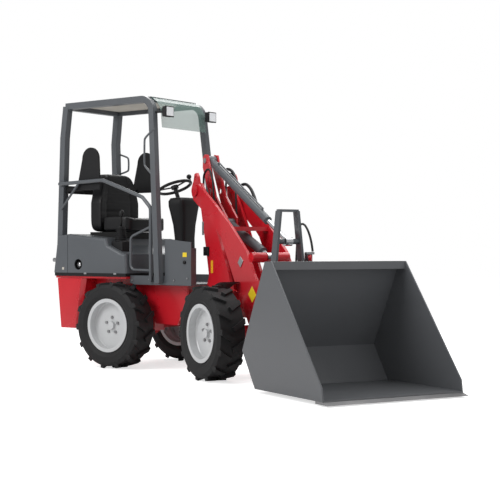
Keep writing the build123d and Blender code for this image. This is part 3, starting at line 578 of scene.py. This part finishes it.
def turned(name, profile, at, along, material, body, place=rear, steps=32):
    """Solid turned from (distance along, radius) pairs about an axis."""
    axis = Vector(along).normalized()
    side = axis.orthogonal().normalized()
    other = axis.cross(side)
    bm = bmesh.new()
    rings = []
    for distance, radius in profile:
        ring = []
        for k in range(steps):
            angle = 2 * math.pi * k / steps
            point = Vector(at) + axis * distance
            point += (side * math.cos(angle) + other * math.sin(angle)) * radius
            ring.append(bm.verts.new(place(*point)))
        rings.append(ring)
    for one, two in zip(rings, rings[1:]):
        for k in range(steps):
            bm.faces.new((one[k], one[(k + 1) % steps], two[(k + 1) % steps], two[k]))
    bm.faces.new(rings[0])
    bm.faces.new(rings[-1])
    bmesh.ops.recalc_face_normals(bm, faces=bm.faces[:])
    return settle(mesh_object(name, bm, material), body)


print("blocks and turned shapes ready")

# %% [markdown]
# The joystick works the loader from beside the seat and stands in a ribbed rubber boot. A
# smooth cone would look like plastic. The ribs are a sine wave on a radius that shrinks
# upwards, turned once round.

# %% Joystick
STICK_X, STICK_Y = -703, -300
BOOT_FOOT = 985
BOOT_STEPS, BOOT_STEP = 43, 2.7
BOOT_RADIUS, BOOT_TAPER, RIB_DEPTH = 50, 0.35, 5
ribs = [(BOOT_STEP * k, BOOT_RADIUS - BOOT_TAPER * k + RIB_DEPTH * math.sin(k * math.pi / 3))
        for k in range(BOOT_STEPS)]
LEAN = (0.05, 0, 1)
stem_shape = [(0, 8), (85, 7), (86, 7)]
knob_shape = [(0, 10), (8, 17), (22, 20), (38, 19), (50, 12), (54, 2)]
stick_pieces = [
    turned("joystick_boot", ribs + [(118, 9)], (STICK_X, STICK_Y, BOOT_FOOT), (0, 0, 1), plastic,
           "rear_frame"),
    turned("joystick_stem", stem_shape, (STICK_X, STICK_Y, 1096), LEAN, engine_black,
           "rear_frame", steps=16),
    turned("joystick_knob", knob_shape, (STICK_X + 4, STICK_Y, 1180), LEAN, plastic,
           "rear_frame"),
    block("joystick_base", (STICK_X - 60, STICK_Y - 50, 900), (STICK_X + 60, STICK_Y + 50, 986),
          plastic, "rear_frame", bevel=10),
]
for piece in stick_pieces:
    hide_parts("joystick")
print("joystick pieces", len(stick_pieces))

# %% [markdown]
# The steering console is a moulded cover: narrow at the floor, with a waist and wide
# shoulders under the wheel. A scaled box has none of that. Cross sections with rounded
# corners are joined into one skin instead, and each section is one line of a table.

# %% Console
SECTIONS = [    # rear x, front x, half width, height
    (-345, -245, 84, 656), (-345, -245, 82, 900), (-350, -244, 78, 1010),
    (-362, -238, 84, 1110), (-378, -230, 102, 1200), (-388, -226, 117, 1262),
    (-388, -228, 119, 1300), (-372, -238, 108, 1324), (-345, -262, 70, 1330),
]
CORNER_POWER = 5.0
RING_STEPS = 40


def rounded_ring(x0, x1, half, z):
    """Points of a rounded rectangle at one height."""
    ring = []
    for k in range(RING_STEPS):
        angle = 2 * math.pi * k / RING_STEPS
        c, s = math.cos(angle), math.sin(angle)
        u = math.copysign(abs(c) ** (2 / CORNER_POWER), c)
        v = math.copysign(abs(s) ** (2 / CORNER_POWER), s)
        ring.append(((x0 + x1) / 2 + u * (x1 - x0) / 2, v * half, z))
    return ring


bm = bmesh.new()
skin = [[bm.verts.new(rear(*p)) for p in rounded_ring(*section)] for section in SECTIONS]
for one, two in zip(skin, skin[1:]):
    for k in range(len(one)):
        bm.faces.new((one[k - 1], one[k], two[k], two[k - 1]))
bm.faces.new(skin[0])
bm.faces.new(skin[-1])
bmesh.ops.recalc_face_normals(bm, faces=bm.faces[:])
cover = settle(mesh_object("console_cover", bm, plastic), "rear_frame")
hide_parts("steering_console")
print("console faces", len(cover.data.polygons))

# %% [markdown]
# Hoses, lamp arms and grab handles are round tubes along a line. A NURBS curve of order 3
# with a round bevel gives a smooth one from a few points. Its order is set after the
# points are added, because a new spline with fewer points would cut it down.

# %% Tubes
def tube(name, points, radius, material, body, place=rear):
    """Round tube on a smooth line through points."""
    curve = bpy.data.curves.new(name, "CURVE")
    curve.dimensions = "3D"
    curve.bevel_depth = radius * MM
    curve.bevel_resolution = 4
    curve.use_fill_caps = True
    curve.resolution_u = 8
    spline = curve.splines.new("NURBS")
    spline.points.add(len(points) - 1)
    for point, place_point in zip(points, spline.points):
        place_point.co = (*place(*point), 1)
    spline.order_u = 3
    spline.use_endpoint_u = True
    obj = bpy.data.objects.new(name, curve)
    bpy.context.scene.collection.objects.link(obj)
    curve.materials.append(material)
    return settle(obj, body)


print("tubes ready")

# %% [markdown]
# Each work lamp has a black body with cooling fins, a frame and a pale lens, on an arm from
# the canopy's post. One plain box would do from afar, but the fins and the lens are what
# makes it read as a lamp.

# %% Work lamps
LAMP_Y = 262
LAMP_FINS, FIN_FOOT, FIN_STEP, FIN_THICK = 6, 1952, 13, 4
LAMP_PARTS = [    # name, rear x, front x, half width, lowest, highest, finish, bevel
    ("body", -268, -232, 46, 1945, 2025, plastic, 6),
    ("frame", -236, -224, 48, 1943, 2027, plastic, 3),
    ("lens", -228, -221, 40, 1951, 2019, lens, 2),
]
for side, word in ((-1, "right"), (1, "left")):
    y = side * LAMP_Y
    pieces = []
    for part, x0, x1, half, z0, z1, material, bevel in LAMP_PARTS:
        pieces.append(block(f"lamp_{part}_{word}", (x0, y - half, z0), (x1, y + half, z1),
                            material, "rear_frame", bevel=bevel))
    arm_line = [(-345, side * 303, 1985), (-305, side * 280, 1985), (-268, y, 1985)]
    pieces.append(tube(f"lamp_arm_{word}", arm_line, 8, plastic, "rear_frame"))
    for k in range(LAMP_FINS):
        z = FIN_FOOT + FIN_STEP * k
        pieces.append(block(f"lamp_fin_{word}_{k}", (-270, y - 38, z),
                            (-262, y + 38, z + FIN_THICK), plastic, "rear_frame", bevel=0.8))
    for piece in pieces:
        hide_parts("work_lamps")
print("lamp pieces", 2 * len(pieces))

# %% [markdown]
# Hoses are black rubber, thick and stiff. They rise from the tower, loop over the top and
# run along the cylinder and the lever. A hose across a joint would have to bend with it, so
# each one here has both its ends on the piece that it rides on.

# %% Hoses
HOSES = {    # points, radius, body
    "hose_lever": ([(1075, -62, 1165), (1060, -70, 1080), (1078, -78, 990), (1085, -88, 900)],
                   11, "lever"),
    "hose_barrel_a": ([(60, 44, 1520), (100, 62, 1548), (190, 64, 1520), (255, 58, 1440),
                       (300, 40, 1400)], 12, "tilt_barrel"),
    "hose_barrel_b": ([(330, 40, 1390), (375, 62, 1424), (470, 64, 1380), (543, 58, 1300),
                       (600, 38, 1262)], 12, "tilt_barrel"),
    "hose_arm": ([(980, 163, 1040), (1000, 164, 1095), (1060, 165, 1105), (1120, 166, 1050),
                  (1165, 166, 960), (1175, 166, 905)], 8, "lift_arms"),
    "arm_pipe": ([(980, 163, 1040), (960, 163, 900), (950, 163, 740)], 7, "lift_arms"),
}
for name, (points, radius, body) in HOSES.items():
    tube(name, points, radius, hose_black, body, front)
print("hoses", len(HOSES))

# %% [markdown]
# A post on the left arm carries the couplers for a tool's own hoses. Two bent handles on
# the canopy's posts help the driver in. They are made with the tools that are there
# already: blocks, one turned shape and two tubes.

# %% Couplers and handles
block("coupler_bar", (1150, 120, 884), (1176, 182, 902), dull_steel, "lift_arms", front)
block("coupler_post", (1080, 156, 690), (1165, 172, 900), slate, "lift_arms", front)
turned("coupler_red", [(0, 13), (18, 15), (24, 12), (40, 12)], (1163, 150, 880), (0.1, 0, -1),
       red, "lift_arms", front)
HANDLES = {
    "grab_front": [(-322, -338, 1850), (-414, -338, 1790), (-421, -338, 1760),
                   (-421, -338, 1590), (-414, -338, 1560), (-316, -345, 1482)],
    "grab_rear": [(-1318, 338, 1740), (-1222, 338, 1715), (-1210, 338, 1690),
                  (-1210, 338, 1610), (-1218, 338, 1590), (-1310, 334, 1570)],
}
for name, points in HANDLES.items():
    tube(name, points, 8, slate, "rear_frame")
print("handles", len(HANDLES))

# %% [markdown]
# Blank plates, a reflector, clips and caps break up the large painted faces. Paint alone
# could show them, but a thin block has an edge that catches light. The plates carry no
# words, because this machine is nobody's make.

# %% Plates and caps of the rear half
block("plate_yellow", (-26, -347, 862), (14, -345.5, 896), yellow, "rear_frame", bevel=0.5)
turned("plate_knob", [(0, 14), (8, 14), (12, 9)], (-7, -345, 822), (0, -1, 0), plastic,
       "rear_frame")
turned("fuel_cap", [(0, 24), (10, 24), (14, 20), (16, 20)], (-1080, -375, 800), (0, -1, 0),
       steel, "rear_frame")
block("hood_label", (-1262, -401, 756), (-1240, -399.8, 776), roof_cream, "rear_frame", bevel=0.4)
block("hood_clip_a", (-1016, -402, 722), (-988, -399, 735), steel, "rear_frame", bevel=1.2)
block("hood_clip_b", (-690, -402, 722), (-662, -399, 735), steel, "rear_frame", bevel=1.2)
print("rear plates made")

# %% [markdown]
# The tower carries an amber reflector, a latch and a side lamp. The arm's cover and sign
# follow the slope of the arm, so they are tilted about their own middle before the front
# half's turn is applied.

# %% Plates and covers of the front half
block("reflector_amber", (235, -149.5, 742), (268, -147.2, 836), amber, "front_frame", front,
      bevel=0.8)
block("tower_latch", (92, -151, 1030), (118, -147.2, 1132), steel, "front_frame", front,
      bevel=1.5)
block("tower_lamp", (128, -160, 872), (208, -147.2, 940), plastic, "front_frame", front, bevel=4)
block("arm_pin_cover", (722, -181, 800), (776, -175.2, 862), steel, "lift_arms", front,
      bevel=2.5, tilt=40, about=(749, -178, 828))
block("arm_sign", (876, -176.5, 562), (960, -175.2, 642), yellow, "lift_arms", front, bevel=0.5,
      tilt=45, about=(918, -176, 602))
print("front plates made")
